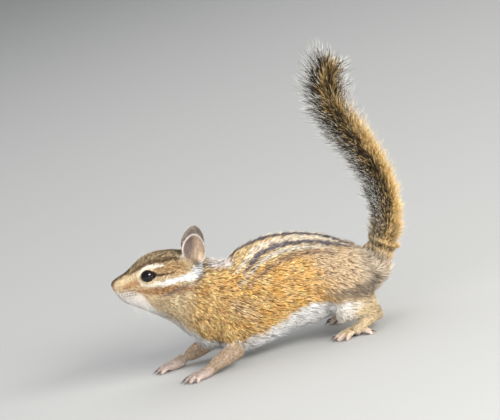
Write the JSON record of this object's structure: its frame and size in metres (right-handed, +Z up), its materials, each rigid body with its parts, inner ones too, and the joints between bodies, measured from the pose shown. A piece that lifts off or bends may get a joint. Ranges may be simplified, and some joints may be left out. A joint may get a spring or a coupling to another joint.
{
  "type": "chipmunk",
  "caption": "Still chipmunk on all fours with striped back, raised head, round ears and a bushy tail held upright.",
  "frame": {"origin": "on the floor, under the middle of the animal's box", "axes": "+Z up, -X the way the nose points, -Y the animal's left side"},
  "size_m": [0.1342, 0.0448, 0.1236],
  "materials": {
    "crown": "short grizzled brown fur",
    "tawny": "tawny fur, striped along the back and white below",
    "grizzled": "grey-olive fur",
    "tail": "long ochre hairs with black bands and frosted tips",
    "ear": "thin ear with short down and a pale rim",
    "skin": "thinly haired pinkish foot",
    "nose": "bare pinkish grey nose",
    "claw": "dark horn",
    "eye": "wet near-black eye"
  },
  "bodies": {
    "root": {"chest": "tawny", "claw_forepaw_left_1": "claw", "claw_forepaw_left_2": "claw", "claw_forepaw_left_3": "claw", "claw_forepaw_left_4": "claw", "claw_forepaw_right_1": "claw", "claw_forepaw_right_2": "claw", "claw_forepaw_right_3": "claw", "claw_forepaw_right_4": "claw", "claw_hind_foot_left_1": "claw", "claw_hind_foot_left_2": "claw", "claw_hind_foot_left_3": "claw", "claw_hind_foot_left_4": "claw", "claw_hind_foot_left_5": "claw", "claw_hind_foot_right_1": "claw", "claw_hind_foot_right_2": "claw", "claw_hind_foot_right_3": "claw", "claw_hind_foot_right_4": "claw", "claw_hind_foot_right_5": "claw", "ear_left": "ear", "ear_right": "ear", "eye_left": "eye", "eye_right": "eye", "forearm_left": "tawny", "forearm_right": "tawny", "forepaw_left": "skin", "forepaw_right": "skin", "head": "crown", "hind_foot_left": "skin", "hind_foot_right": "skin", "loins": "tawny", "neck": "tawny", "nose": "nose", "rump": "grizzled", "shank_left": "grizzled", "shank_right": "grizzled", "tail_lower": "tail", "tail_middle": "tail", "tail_tip": "tail", "tail_upper": "tail", "thigh_left": "grizzled", "thigh_right": "grizzled", "upper_arm_left": "tawny", "upper_arm_right": "tawny"}
  },
  "joints": []
}
